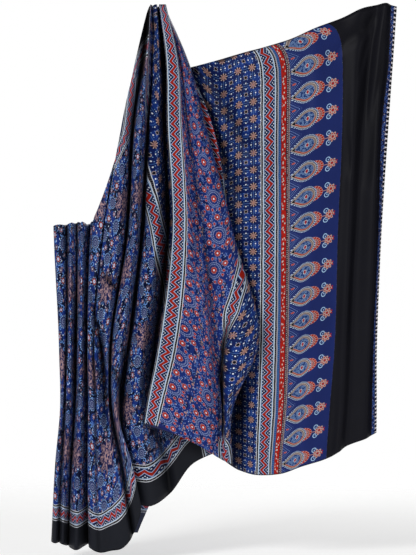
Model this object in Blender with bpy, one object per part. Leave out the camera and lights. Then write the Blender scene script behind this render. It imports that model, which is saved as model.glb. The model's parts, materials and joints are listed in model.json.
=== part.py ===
"""A block printed silk sari, hanging in the pleats and rolls that it is worn in.

The sari is one long cloth. It hangs from a gather at the shoulder, from its pleated waist and from one
raised upper corner. The cloth is made as a single sheet: each row of FOLDS is one fold line that runs
from the upper edge down to the hem, in the order in which the lines follow one another along the
cloth, and the sheet passes through them all. The origin is at the top of the shoulder gather, +X is
towards the raised corner, the front faces -Y and +Z is up. Units are metres, and the tables are in
millimetres.
"""

import bmesh
import bpy
import numpy as np

MM = 0.001
CLOTH_THICKNESS = 2 * MM

STEPS_DOWN = 17  # faces from the upper edge to the hem
STEPS_BETWEEN_FOLDS = 2  # faces from one fold line to the next

# Heights at which the table gives how far a fold line is to the side, and how far it is to the front.
SIDE_HEIGHTS = (0, -150, -300, -600, -900, -1050, -1200, -1420)
FRONT_HEIGHTS = (0, -300, -600, -900, -1420)

# Each row: name, height of the upper edge, height of the hem, distance to the side (+X) at
# SIDE_HEIGHTS, distance to the front (-Y) at FRONT_HEIGHTS.
FOLDS = (
    ("end",               -5, -1115, ( 628,  618,  607,  587,  576,  576,  573,  573), (  0,   0,   0,   0,   0)),
    ("strip",              0, -1123, ( 613,  607,  591,  580,  567,  564,  561,  560), ( -8, -10,  -9,  -9,  -8)),
    ("edge_roll",          4, -1131, ( 599,  586,  577,  567,  555,  550,  544,  542), (  6,   8,   8,   6,   6)),
    ("pull_dip",           0, -1151, ( 576,  557,  544,  524,  511,  503,  495,  495), ( -6, -10,  -9,  -8,  -6)),
    ("pull_rise",        -10, -1167, ( 537,  526,  518,  503,  492,  482,  472,  472), (  5,   8,   7,   7,   9)),
    ("black_line",       -34, -1184, ( 485,  487,  486,  474,  465,  453,  443,  440), ( -2,  -3,  -4,  -4,  -6)),
    ("paisley",          -60, -1204, ( 417,  417,  417,  409,  400,  391,  378,  375), (  3,   5,   5,   4,   6)),
    ("braid_right",      -89, -1223, ( 349,  352,  350,  349,  346,  341,  328,  328), (  0,  -4,  -6, -10,  -4)),
    ("band4_left",      -112, -1227, ( 276,  276,  275,  275,  272,  268,  263,  263), (  0,  -6, -10, -22,  -8)),
    ("star",            -126, -1218, ( 219,  219,  219,  219,  219,  219,  219,  219), (-10, -22, -36, -60, -34)),
    ("star_dip",        -143, -1211, ( 156,  156,  156,  164,  208,  203,  203,  203), (-20, -46, -60, -76, -56)),
    ("roll_back",       -162, -1209, (  10,   47,   73,   99,  177,  146,  125,  125), (-88, -90, -96, -102, -94)),
    ("roll_back_2",     -156, -1209, (  16,   52,   78,  104,  182,  151,  130,  130), (-78, -80, -84, -90, -82)),
    ("strip_edge",       -94, -1206, (  23,   83,  143,  195,  240,  190,  182,  177), (-68, -22, -16, -24, -30)),
    ("strip_dip",        -52, -1205, (  18,   74,  117,  172,  214,  172,  159,  156), (-50, -32, -25, -34, -42)),
    ("roll_edge",         -1, -1202, (  23,   85,  126,  203,  263,  201,  198,  190), (-46,  -2,   0,   6,   0)),
    ("roll_crest",        -3, -1198, (  22,   73,  107,  175,  219,  185,  182,  177), (-36,  22,  26,  34,  16)),
    ("panel_dip",         -3, -1190, (  18,   61,   82,  125,  159,  172,  164,  162), (-28,   8,  10,   4,   4)),
    ("panel",             -3, -1172, (  22,   55,   70,   99,  133,  128,  112,  104), (-16,  20,  22,  26,  22)),
    ("band2_right",        0, -1098, (  25,   58,   66,   81,   52,   16,  -18,  -42), ( -2,  24,  32,  36,  38)),
    ("front_fold",         0, -1091, (   9,   27,   31,   42,    5,  -23,  -42,  -52), (  8,  18,  26,  32,  34)),
    ("under_fold",        -1, -1095, (   8,   30,   35,   46,   10,  -17,  -34,  -44), ( -1,   8,  14,  20,  22)),
    ("middle",            -1, -1185, (  13,   49,   73,  130,  151,  172,  169,  167), ( -6, -10,  -8,  -8,  -8)),
    ("middle_2",          -1, -1188, (   9,   47,   70,  128,  148,  169,  168,  165), (-13, -20, -18, -18, -18)),
    ("rear",              -1, -1201, (   5,   31,   47,   78,   73,   83,   94,   96), (-20, -32, -36, -38, -36)),
    ("v1",                -1, -1279, (   2,   18,   20,   29,   -3,  -13,   26,   44), (-26, -42, -46, -48, -32)),
    ("r1",                 0, -1308, (   0,    8,    5,    0,  -39,  -49,  -23,  -10), (  6,  10,  14,  14, -14)),
    ("v2",                -1, -1302, (  -9,  -10,  -21,  -39,  -74,  -95,  -76,  -31), (-16, -26, -26, -22, -28)),
    ("r2",                 0, -1308, ( -14,  -25,  -39,  -56,  -90, -103,  -61,  -16), (  2,  10,  16,  20,  10)),
    ("v3",                -3, -1383, ( -18,  -38,  -59,  -78, -119, -117,  -90,  -55), ( -6, -12, -20,  -2,   8)),
    ("shoulder_edge",   -146, -1415, ( -22,  -49,  -70,  -96, -128, -125, -112,  -86), ( -2,  -2,  14,   4,  16)),
    ("panel_middle",    -263, -1422, ( -31,  -47,  -74, -115, -143, -138, -130, -117), ( -4,  -6,  16,  -4,  12)),
    ("panel_left",      -397, -1426, ( -36,  -57,  -81, -138, -162, -156, -155, -148), (-10, -12,  10,  14,  18)),
    ("panel_edge",      -560, -1415, ( -99, -115, -130, -167, -178, -175, -176, -172), (-20, -20,  -6,   4,   8)),
    ("pleat_valley",    -573, -1400, (-172, -175, -175, -176, -181, -178, -180, -180), (-50, -50, -52, -52, -36)),
    ("pleat_2",         -569, -1420, (-193, -193, -193, -193, -194, -197, -202, -208), (  0,   0,   3,   8,  14)),
    ("pleat_gap",       -570, -1405, (-206, -206, -206, -207, -211, -215, -224, -231), (-20, -20, -20, -32, -26)),
    ("pleat_1b",        -572, -1400, (-221, -221, -221, -221, -224, -229, -237, -242), (  0,   0,   2,   4,   8)),
    ("pleat_groove",    -574, -1403, (-234, -234, -234, -234, -234, -238, -248, -254), ( -8,  -8,  -8,  -8,  -3)),
    ("pleat_1",         -576, -1403, (-250, -250, -250, -250, -242, -243, -256, -264), (  0,   0,   0,   3,   6)),
    ("left_edge",       -578, -1399, (-268, -268, -268, -267, -253, -249, -263, -275), (-14, -14, -14, -12, -12)),
    ("turn_behind",     -581, -1396, (-266, -266, -266, -260, -247, -245, -258, -268), (-52, -52, -52, -52, -50)),
)

# Behind the pleats the rest of the cloth goes back and forth in flat layers.
BACK_LAYERS = 9
BACK_FIRST_FRONT = -66
BACK_LAYER_SPACING = 9
BACK_TOP = -586
BACK_HEM = -1391
BACK_UNEVEN_SIDE = 7  # how far the folded edges stray from one another
BACK_UNEVEN_HEM = 3
BACK_UNEVEN_TURN = 2.3  # radians from one layer to the next
BACK_LEFT_SIDE = (-252, -252, -252, -252, -244, -242, -250, -262)
BACK_RIGHT_SIDE = (-99, -99, -99, -99, -112, -112, -104, -90)
BACK_END_SIDE = (-73, -73, -73, -73, -73, -73, -52, -16)  # the cloth's far end, past the pleats

SILK_BLUE = (0.02, 0.035, 0.13, 1)
SILK_ROUGHNESS = 0.5


def back_rows():
    """The fold lines of the layers behind the pleats, each layer from one side to the other."""
    rows = []
    for layer in range(BACK_LAYERS):
        front = (BACK_FIRST_FRONT - layer * BACK_LAYER_SPACING,) * len(FRONT_HEIGHTS)
        goes_right = layer % 2 == 0
        is_last = layer == BACK_LAYERS - 1
        right_side = BACK_END_SIDE if is_last else BACK_RIGHT_SIDE
        sides = (BACK_LEFT_SIDE, right_side) if goes_right else (right_side, BACK_LEFT_SIDE)
        for end, side in enumerate(sides):
            # The two rows beside one folded edge share its place, so the edge stays one round turn.
            stray = np.sin(BACK_UNEVEN_TURN * (layer + end)) * (0 if is_last and end else 1)
            side = tuple(value + BACK_UNEVEN_SIDE * stray for value in side)
            hem = BACK_HEM + BACK_UNEVEN_HEM * stray
            top = BACK_TOP + BACK_UNEVEN_HEM * stray
            rows.append((f"back_{layer}_{end}", top, hem, side, front))
    return rows


def smooth_through(heights, values, at):
    """Reads a smooth curve through a table's values at the heights asked for."""
    h = -np.array(heights, float)
    v = np.array(values, float)
    slope = np.gradient(v, h)
    q = -np.asarray(at, float)
    i = np.clip(np.searchsorted(h, q) - 1, 0, len(h) - 2)
    step = h[i + 1] - h[i]
    t = (q - h[i]) / step
    near = (2 * t**3 - 3 * t**2 + 1) * v[i] + (t**3 - 2 * t**2 + t) * step * slope[i]
    far = (3 * t**2 - 2 * t**3) * v[i + 1] + (t**3 - t**2) * step * slope[i + 1]
    return near + far


def fold_lines(rows, steps_down):
    """Each row's line as points from the upper edge to the hem: an array of rows, steps and x, y, z."""
    down = np.linspace(0, 1, steps_down + 1)
    lines = []
    for _name, top, hem, side, front in rows:
        z = top + (hem - top) * down
        x = smooth_through(SIDE_HEIGHTS, side, z)
        y = -smooth_through(FRONT_HEIGHTS, front, z)
        lines.append(np.stack((x, y, z), axis=1) * MM)
    return np.array(lines)


def sheet_through(lines, steps_between):
    """Adds points between the fold lines, along a rounded curve through them at each step down."""
    before = np.concatenate((2 * lines[:1] - lines[1:2], lines, 2 * lines[-1:] - lines[-2:-1]))
    gap = np.linalg.norm(np.diff(before, axis=0), axis=2, keepdims=True) ** 0.5
    run = np.diff(before, axis=0) / gap
    turn = (before[2:] - before[:-2]) / (gap[1:] + gap[:-1])
    slope = run[:-1] + run[1:] - turn
    columns = []
    for i in range(len(lines) - 1):
        width = gap[i + 1]
        for t in np.arange(steps_between) / steps_between:
            near = (2 * t**3 - 3 * t**2 + 1) * lines[i] + (t**3 - 2 * t**2 + t) * width * slope[i]
            far = (3 * t**2 - 2 * t**3) * lines[i + 1] + (t**3 - t**2) * width * slope[i + 1]
            columns.append(near + far)
    columns.append(lines[-1])
    return np.array(columns)


def silk_material():
    material = bpy.data.materials.new("printed_silk")
    material.use_nodes = True
    shader = material.node_tree.nodes["Principled BSDF"]
    shader.inputs["Base Color"].default_value = SILK_BLUE
    shader.inputs["Roughness"].default_value = SILK_ROUGHNESS
    shader.inputs["Metallic"].default_value = 0
    material.diffuse_color = SILK_BLUE
    return material


def make_cloth(name, points):
    """Lays a grid of faces on the points and gives it the cloth's thickness."""
    columns, steps = points.shape[:2]
    bm = bmesh.new()
    bmesh.ops.create_grid(bm, x_segments=columns - 1, y_segments=steps - 1, size=1)
    bm.verts.ensure_lookup_table()
    for index, vert in enumerate(bm.verts):
        step, column = divmod(index, columns)
        vert.co = points[column, step]
    bmesh.ops.triangulate(bm, faces=bm.faces, quad_method="SHORT_EDGE")
    mesh = bpy.data.meshes.new(name)
    bm.to_mesh(mesh)
    bm.free()
    mesh.shade_smooth()
    mesh.materials.append(silk_material())
    cloth = bpy.data.objects.new(name, mesh)
    bpy.context.scene.collection.objects.link(cloth)
    thickness = cloth.modifiers.new("thickness", "SOLIDIFY")
    thickness.thickness = CLOTH_THICKNESS
    thickness.offset = 0
    return cloth


def main():
    for thing in list(bpy.data.objects):
        bpy.data.objects.remove(thing)
    lines = fold_lines(list(FOLDS) + back_rows(), STEPS_DOWN)
    points = sheet_through(lines, STEPS_BETWEEN_FOLDS)
    make_cloth("printed_silk_sari", points)


main()
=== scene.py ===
# %% [markdown]
# # A block printed silk sari, hanging in its folds
#
# A sari is one length of thin silk, about 1.1 m wide and 5.5 m long, printed by hand with carved wooden
# blocks. Here it hangs as it is worn: gathered at the shoulder, pleated at the waist, and with the
# figured end panel drawn out to one side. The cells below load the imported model, set up a small studio,
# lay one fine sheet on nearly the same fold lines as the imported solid, and then print it with shader
# nodes. About 3.3 m of the cloth is built. The rest of a real sari would be wrapped out of sight.

import bmesh
import bpy
import json
import numpy as np
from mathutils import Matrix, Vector

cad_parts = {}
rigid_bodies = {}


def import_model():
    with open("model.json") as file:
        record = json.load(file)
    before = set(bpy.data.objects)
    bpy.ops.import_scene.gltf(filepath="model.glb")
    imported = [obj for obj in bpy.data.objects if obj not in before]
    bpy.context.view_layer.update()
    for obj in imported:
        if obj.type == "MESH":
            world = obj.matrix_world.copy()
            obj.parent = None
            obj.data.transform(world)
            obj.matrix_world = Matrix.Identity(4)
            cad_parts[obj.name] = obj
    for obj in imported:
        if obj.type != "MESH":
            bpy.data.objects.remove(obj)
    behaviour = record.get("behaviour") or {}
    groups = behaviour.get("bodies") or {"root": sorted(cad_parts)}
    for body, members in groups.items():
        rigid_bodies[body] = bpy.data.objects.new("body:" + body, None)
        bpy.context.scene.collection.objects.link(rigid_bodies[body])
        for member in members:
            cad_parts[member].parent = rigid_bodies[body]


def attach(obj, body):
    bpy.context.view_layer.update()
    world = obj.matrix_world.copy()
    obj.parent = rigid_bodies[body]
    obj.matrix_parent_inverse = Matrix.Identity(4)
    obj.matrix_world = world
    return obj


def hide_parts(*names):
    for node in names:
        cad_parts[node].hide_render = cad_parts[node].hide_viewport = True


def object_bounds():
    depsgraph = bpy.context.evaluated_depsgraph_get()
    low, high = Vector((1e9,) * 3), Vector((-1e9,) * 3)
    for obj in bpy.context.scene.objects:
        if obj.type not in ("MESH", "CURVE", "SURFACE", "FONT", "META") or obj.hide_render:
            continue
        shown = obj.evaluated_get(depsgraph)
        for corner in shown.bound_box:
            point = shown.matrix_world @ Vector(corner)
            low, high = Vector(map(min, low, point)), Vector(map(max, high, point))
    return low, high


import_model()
cad_box = [[float(value) for value in corner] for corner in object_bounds()]
print("packed model, lowest and highest corner:", cad_box)

MM = 0.001

# %% [markdown]
# ## The studio
#
# The cloth hangs in the air, a little above a wide pale floor. There is no wall, so that the cloth can be seen
# from behind as well.

# %% Pale floor
FLOOR_GAP = 0.03  # between the hem and the floor
FLOOR_HALF_WIDTH = 4.0
FLOOR_GLOW = 0.35
FLOOR_FADE = (1.5, 3.2)  # the floor is whole up to the first distance, and gone at the second

floor_height = cad_box[0][2] - FLOOR_GAP
bm = bmesh.new()
bmesh.ops.create_grid(bm, x_segments=1, y_segments=1, size=FLOOR_HALF_WIDTH)
bmesh.ops.translate(bm, verts=bm.verts, vec=(0, 0, floor_height))
floor_mesh = bpy.data.meshes.new("studio_floor")
bm.to_mesh(floor_mesh)
bm.free()
floor = bpy.data.objects.new("studio_floor", floor_mesh)
bpy.context.scene.collection.objects.link(floor)


def fading_floor():
    """A pale matt floor that fades out into the white world some way from the middle."""
    material = bpy.data.materials.new("pale_floor")
    material.use_nodes = True
    tree = material.node_tree
    shader = tree.nodes["Principled BSDF"]
    shader.inputs["Base Color"].default_value = (0.95, 0.95, 0.94, 1)
    shader.inputs["Roughness"].default_value = 0.9
    shader.inputs["Specular IOR Level"].default_value = 0.1
    shader.inputs["Emission Color"].default_value = (1, 1, 1, 1)
    shader.inputs["Emission Strength"].default_value = FLOOR_GLOW
    place = tree.nodes.new("ShaderNodeTexCoord")
    far = tree.nodes.new("ShaderNodeVectorMath")
    far.operation = "LENGTH"
    fade = tree.nodes.new("ShaderNodeMapRange")
    fade.interpolation_type = "SMOOTHSTEP"
    fade.inputs["From Min"].default_value = FLOOR_FADE[0]
    fade.inputs["From Max"].default_value = FLOOR_FADE[1]
    clear = tree.nodes.new("ShaderNodeBsdfTransparent")
    mix = tree.nodes.new("ShaderNodeMixShader")
    tree.links.new(place.outputs["Object"], far.inputs[0])
    tree.links.new(far.outputs["Value"], fade.inputs["Value"])
    tree.links.new(fade.outputs[0], mix.inputs[0])
    tree.links.new(shader.outputs[0], mix.inputs[1])
    tree.links.new(clear.outputs[0], mix.inputs[2])
    tree.links.new(mix.outputs[0], tree.nodes["Material Output"].inputs[0])
    return material


floor.data.materials.append(fading_floor())
print("floor at", round(floor_height, 3))

# %% [markdown]
# ## Light and camera
#
# Silk shows its folds by soft light from one side. A large lamp stands to the front and left, a
# weaker one to the right keeps the shaded sides readable, and one behind lights the reverse. The
# world is white to look at, but gives less light than it shows, so that deep folds stay dark. The
# lens is long and far away, so the tall sheet isn't spread by perspective.

# %% Lamps
MIDDLE = [(low + high) / 2 for low, high in zip(*cad_box)]
LAMPS = (  # name, place from the middle of the cloth, size, power
    ("key", (-2.4, -4.0, 2.2), 1.4, 126),
    ("fill", (3.0, -4.0, 0.8), 2.0, 31),
    ("back", (1.5, 4.0, 2.4), 2.4, 90),
)


def add_lamp(name, place, size, power):
    """A square soft light that faces the middle of the cloth."""
    light = bpy.data.lights.new(name, "AREA")
    light.shape = "SQUARE"
    light.size = size
    light.energy = power
    lamp = bpy.data.objects.new(name, light)
    lamp.location = Vector(MIDDLE) + Vector(place)
    lamp.rotation_euler = (-Vector(place)).to_track_quat("-Z", "Y").to_euler()
    lamp.visible_camera = False
    bpy.context.scene.collection.objects.link(lamp)


for row in LAMPS:
    add_lamp(*row)
print(len(LAMPS), "lamps")

# %% World
WORLD_LIGHT = 0.18
WORLD_SHOWN = 1.0

world = bpy.data.worlds.new("studio")
world.use_nodes = True
bpy.context.scene.world = world
sky = world.node_tree
path = sky.nodes.new("ShaderNodeLightPath")
strength = sky.nodes.new("ShaderNodeMapRange")
strength.inputs["To Min"].default_value = WORLD_LIGHT
strength.inputs["To Max"].default_value = WORLD_SHOWN
sky.links.new(path.outputs["Is Camera Ray"], strength.inputs["Value"])
background = sky.nodes["Background"]
background.inputs["Color"].default_value = (1, 1, 1, 1)
sky.links.new(strength.outputs[0], background.inputs["Strength"])
bpy.context.scene.view_settings.view_transform = "Standard"
print("world light", WORLD_LIGHT)

# %% Camera
CAMERA_DISTANCE = 6.0
VIEW_HEIGHT = 1.446  # how much the frame takes in at the cloth
CAMERA_LEFT = 0.041  # the frame's middle is a little left of the cloth's
SENSOR = 36.0

lens = bpy.data.cameras.new("camera")
lens.sensor_fit = "VERTICAL"
lens.sensor_height = SENSOR
lens.lens = SENSOR * CAMERA_DISTANCE / VIEW_HEIGHT
camera = bpy.data.objects.new("camera", lens)
camera.location = (MIDDLE[0] - CAMERA_LEFT, -CAMERA_DISTANCE, MIDDLE[2])
camera.rotation_euler = (np.pi / 2, 0, 0)
bpy.context.scene.collection.objects.link(camera)
bpy.context.scene.camera = camera
print("lens", round(lens.lens, 1), "mm")

# %% [markdown]
# ## The fold lines
#
# The real cloth is never flat: each fold is a line that runs from the upper edge to the hem, and the
# cloth passes over one line after another. So the cloth is built from those lines. A row of the first
# table is one fold line, in the order in which they follow each other along the cloth, from its plain
# dark end to the pleats. The second table says how far along the cloth each line lies, which is what
# puts the print in its place.

# %% Where each fold line runs
# Heights at which the table gives how far a fold line is to the side, and how far it is to the front.
SIDE_HEIGHTS = (0, -150, -300, -600, -900, -1050, -1200, -1420)
FRONT_HEIGHTS = (0, -300, -600, -900, -1420)

# Each row: name, height of the upper edge, height of the hem, distance to the side (+X) at
# SIDE_HEIGHTS, distance to the front (-Y) at FRONT_HEIGHTS.
FOLDS = (
    ("end",               -5, -1115, ( 628,  618,  607,  587,  576,  576,  573,  573), (  0,   0,   0,   0,   0)),
    ("strip",              0, -1123, ( 613,  607,  591,  580,  567,  564,  561,  560), ( -8, -10,  -9,  -9,  -8)),
    ("edge_roll",          4, -1131, ( 599,  586,  577,  567,  555,  550,  544,  542), (  6,   8,   8,   6,   6)),
    ("pull_dip",           0, -1151, ( 576,  557,  544,  524,  511,  503,  495,  495), ( -6, -10,  -9,  -8,  -6)),
    ("pull_rise",        -10, -1167, ( 537,  526,  518,  503,  492,  482,  472,  472), (  5,   8,   7,   7,   9)),
    ("black_line",       -34, -1184, ( 485,  487,  486,  474,  465,  453,  443,  440), ( -2,  -3,  -4,  -4,  -6)),
    ("paisley",          -60, -1204, ( 417,  417,  417,  409,  400,  391,  378,  375), (  3,   5,   5,   4,   6)),
    ("braid_right",      -89, -1223, ( 349,  352,  350,  349,  346,  341,  328,  328), (  0,  -4,  -6, -10,  -4)),
    ("band4_left",      -112, -1227, ( 276,  276,  275,  275,  272,  268,  263,  263), (  0,  -6, -10, -22,  -8)),
    ("star",            -126, -1218, ( 219,  219,  219,  219,  219,  219,  219,  219), (-10, -22, -36, -60, -34)),
    ("star_dip",        -143, -1211, ( 156,  156,  156,  164,  208,  203,  203,  203), (-20, -46, -60, -76, -56)),
    ("roll_back",       -162, -1160, (  10,   47,   73,   99,  177,  146,  125,  125), (-88, -90, -96, -102, -94)),
    ("roll_back_2",     -156, -1164, (  16,   52,   78,  104,  182,  151,  130,  130), (-78, -80, -84, -90, -82)),
    ("strip_edge",       -94, -1192, (  23,   83,  143,  195,  240,  190,  182,  177), (-68, -22, -16, -24, -30)),
    ("strip_dip",        -52, -1180, (  18,   74,  117,  172,  214,  172,  159,  156), (-50, -32, -25, -34, -42)),
    ("roll_edge",         -1, -1196, (  23,   85,  126,  203,  263,  201,  198,  190), (-46,  -2,   0,   6,   0)),
    ("roll_crest",        -3, -1189, (  22,   73,  107,  175,  219,  185,  182,  177), (-36,  22,  26,  34,  16)),
    ("panel_dip",         -3, -1182, (  18,   61,   82,  125,  159,  172,  164,  162), (-28,   8,  10,   4,   4)),
    ("panel",             -3, -1150, (  22,   55,   70,   99,  133,  128,  112,  104), (-16,  20,  22,  26,  22)),
    ("band2_right",        0, -1098, (  25,   58,   66,   81,   52,   16,  -18,  -42), ( -2,  24,  32,  36,  38)),
    ("front_fold",         0, -1091, (   9,   27,   31,   42,    5,  -23,  -42,  -52), (  8,  18,  26,  32,  34)),
    ("under_fold",        -1, -1095, (   8,   30,   35,   46,   10,  -17,  -34,  -44), ( -1,   8,  14,  20,  22)),
    ("middle",            -1, -1160, (  13,   49,   73,  130,  151,  172,  169,  167), ( -6, -10,  -8,  -8,  -8)),
    ("middle_2",          -1, -1163, (   9,   47,   70,  128,  148,  169,  168,  165), (-13, -20, -18, -18, -18)),
    ("rear",              -1, -1201, (   5,   31,   47,   78,   73,   83,   94,   96), (-20, -32, -36, -38, -36)),
    ("v1",                -1, -1279, (   2,   18,   20,   29,   -3,  -13,   26,   44), (-26, -42, -46, -48, -32)),
    ("r1",                 0, -1308, (   0,    8,    5,    0,  -39,  -49,  -23,  -10), (  6,  10,  14,  14, -14)),
    ("v2",                -1, -1302, (  -9,  -10,  -21,  -39,  -74,  -95,  -76,  -31), (-16, -26, -26, -22, -28)),
    ("r2",                 0, -1308, ( -14,  -25,  -39,  -56,  -90, -103,  -61,  -16), (  2,  10,  16,  20,  10)),
    ("v3",                -3, -1383, ( -18,  -38,  -59,  -78, -119, -117,  -90,  -55), ( -6, -12, -20,  -2,   8)),
    ("shoulder_edge",   -122, -1415, ( -42,  -51,  -75,  -96, -128, -125, -112,  -86), ( -2,  -2,  14,   4,  16)),
    ("panel_middle",    -263, -1422, ( -31,  -52,  -87, -115, -143, -138, -130, -117), ( -4,  -6,  16,  -4,  12)),
    ("panel_left",      -397, -1426, ( -36,  -57,  -87, -138, -162, -156, -155, -148), (-10, -12,  10,  14,  18)),
    ("panel_edge",      -560, -1415, ( -99, -115, -130, -167, -178, -175, -176, -172), (-20, -20,  -6,   4,   8)),
    ("pleat_valley",    -573, -1411, (-172, -175, -175, -176, -181, -178, -180, -180), (-50, -50, -52, -52, -36)),
    ("pleat_2",         -569, -1420, (-193, -193, -193, -193, -194, -197, -202, -208), (  0,   0,   3,   8,  14)),
    ("pleat_gap",       -570, -1414, (-206, -206, -206, -207, -211, -215, -224, -231), (-20, -20, -20, -32, -26)),
    ("pleat_1b",        -572, -1406, (-221, -221, -221, -221, -224, -229, -237, -242), (  0,   0,   2,   4,   8)),
    ("pleat_groove",    -574, -1403, (-234, -234, -234, -234, -234, -238, -248, -254), ( -8,  -8,  -8,  -8,  -3)),
    ("pleat_1",         -576, -1403, (-250, -250, -250, -250, -242, -243, -256, -264), (  0,   0,   0,   3,   6)),
    ("left_edge",       -578, -1399, (-268, -268, -268, -267, -253, -249, -263, -275), (-14, -14, -14, -12, -12)),
    ("turn_behind",     -581, -1396, (-266, -266, -266, -260, -247, -245, -258, -268), (-52, -52, -52, -52, -50)),
)

# Behind the pleats more of the cloth goes back and forth in flat layers. Their number is a guess.
BACK_LAYERS = 9
BACK_FIRST_FRONT = -66
BACK_LAYER_SPACING = 9
BACK_TOP = -586
BACK_HEM = -1391
BACK_UNEVEN_SIDE = 7  # how far the folded edges stray from one another
BACK_UNEVEN_HEM = 3
BACK_UNEVEN_TURN = 2.3  # radians from one layer to the next
BACK_LEFT_SIDE = (-252, -252, -252, -252, -244, -242, -250, -262)
BACK_RIGHT_SIDE = (-99, -99, -99, -99, -112, -112, -104, -90)
BACK_END_SIDE = (-73, -73, -73, -73, -60, -30, 8, -62)  # the cloth's far end, past the pleats


print(len(FOLDS), "fold lines in front,", BACK_LAYERS, "layers behind")

# %% Layers behind the pleats
def back_rows():
    """The fold lines of the layers behind the pleats, each layer from one side to the other."""
    rows = []
    for layer in range(BACK_LAYERS):
        front = (BACK_FIRST_FRONT - layer * BACK_LAYER_SPACING,) * len(FRONT_HEIGHTS)
        goes_right = layer % 2 == 0
        is_last = layer == BACK_LAYERS - 1
        right_side = BACK_END_SIDE if is_last else BACK_RIGHT_SIDE
        sides = (BACK_LEFT_SIDE, right_side) if goes_right else (right_side, BACK_LEFT_SIDE)
        for end, side in enumerate(sides):
            # The two rows beside one folded edge share its place, so the edge stays one round turn.
            stray = np.sin(BACK_UNEVEN_TURN * (layer + end)) * (0 if is_last and end else 1)
            side = tuple(value + BACK_UNEVEN_SIDE * stray for value in side)
            hem = BACK_HEM + BACK_UNEVEN_HEM * stray
            top = BACK_TOP + BACK_UNEVEN_HEM * stray
            rows.append((f"back_{layer}_{end}", top, hem, side, front))
    return rows


def smooth_through(heights, values, at):
    """Reads a smooth curve through a table's values at the heights asked for."""
    h = -np.array(heights, float)
    v = np.array(values, float)
    slope = np.gradient(v, h)
    q = -np.asarray(at, float)
    i = np.clip(np.searchsorted(h, q) - 1, 0, len(h) - 2)
    step = h[i + 1] - h[i]
    t = (q - h[i]) / step
    near = (2 * t**3 - 3 * t**2 + 1) * v[i] + (t**3 - 2 * t**2 + t) * step * slope[i]
    far = (3 * t**2 - 2 * t**3) * v[i + 1] + (t**3 - t**2) * step * slope[i + 1]
    return near + far


print(len(back_rows()), "fold lines behind")

# %% How far along the cloth each fold line lies
# Millimetres from the plain end: one number, or one for each of SIDE_HEIGHTS where the line slants
# across the weave.
FIRST_BACK_GAP = 12  # from the last pleat to the first layer behind it
ALONG = {
    "end": 0,
    "strip": 20,
    "edge_roll": 36,
    "pull_dip": 66,
    "pull_rise": 96,
    "black_line": 130,
    "paisley": 199,
    "braid_right": 266,
    "band4_left": 342,
    "star": 398,
    "star_dip": ( 460,  460,  460,  452,  410,  414,  414,  414),
    "roll_back": ( 538,  538,  528,  523,  440,  471,  494,  494),
    "roll_back_2": ( 550,  550,  540,  535,  452,  483,  506,  506),
    "strip_edge": ( 575,  580,  616,  580,  480,  530,  560,  560),
    "strip_dip": ( 610,  615,  640,  620,  498,  560,  590,  590),
    "roll_edge": ( 655,  655,  655,  658,  516,  575,  604,  604),
    "roll_crest": ( 685,  685,  690,  700,  575,  600,  625,  625),
    "panel_dip": ( 735,  735,  750,  760,  650,  625,  650,  650),
    "panel": ( 790,  790,  790,  800,  735,  715,  700,  700),
    "band2_right": 827,
    "front_fold": 870,
    "under_fold": 882,
    "middle": ( 885,  900,  914,  960, 1018, 1044, 1085, 1085),
    "middle_2": ( 893,  915,  930,  980, 1030, 1060, 1100, 1100),
    "rear": ( 900,  925,  950, 1040, 1110, 1150, 1190, 1190),
    "v1": ( 895,  920, 1000, 1108, 1200, 1232, 1240, 1240),
    "r1": ( 910,  950, 1062, 1140, 1238, 1274, 1268, 1268),
    "v2": ( 935, 1010, 1112, 1187, 1285, 1325, 1310, 1310),
    "r2": (1168, 1172, 1184, 1240, 1325, 1352, 1334, 1334),
    "v3": (1176, 1190, 1215, 1285, 1368, 1385, 1375, 1385),
    "shoulder_edge": (1186, 1200, 1240, 1325, 1395, 1402, 1410, 1445),
    "panel_middle": (1250, 1250, 1255, 1355, 1428, 1440, 1450, 1480),
    "panel_left": (1290, 1290, 1290, 1395, 1465, 1475, 1490, 1512),
    "panel_edge": (1425, 1425, 1425, 1440, 1492, 1505, 1518, 1535),
    "pleat_valley": 1568,
    "pleat_2": 1628,
    "pleat_gap": 1678,
    "pleat_1b": 1718,
    "pleat_groove": 1736,
    "pleat_1": 1756,
    "left_edge": 1783,
    "turn_behind": 1828,
}


def with_back_layers(folds):
    """All the fold lines: name, upper edge, hem, side, front, and the distance along the cloth."""
    rows = [row + (np.broadcast_to(ALONG[row[0]], len(SIDE_HEIGHTS)),) for row in folds]
    along = max(rows[-1][-1])
    for name, top, hem, side, front in back_rows():
        if name.endswith("_0"):
            along += BACK_LAYER_SPACING if name != "back_0_0" else FIRST_BACK_GAP
        else:
            along += abs(side[0] - rows[-1][3][0])
        rows.append((name, top, hem, side, front, np.full(len(SIDE_HEIGHTS), float(along))))
    return rows


fold_rows = with_back_layers(FOLDS)
print(len(fold_rows), "fold lines, over", round(max(fold_rows[-1][-1])), "mm of cloth")

# %% [markdown]
# ## From lines to a sheet
#
# Each line becomes points from the upper edge to the hem. A point carries five numbers: its place,
# how far along the cloth it is, and how far across. The last two are the cloth's own flat
# coordinates, as on the printing table, and they go through the same smooth curves as the place
# does, so that the print bends, slants and foreshortens with every fold.

# %% Points down each fold line
CLOTH_WIDTH = 1120  # from the upper edge to the hem, laid flat
STEPS_DOWN = 88
SAG = 28  # the upper half hangs straighter than the lower, which shifts the print a little


TURNED_UNDER = {"shoulder_edge": 62, "panel_middle": 70, "panel_left": 110}  # of the upper edge


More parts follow.
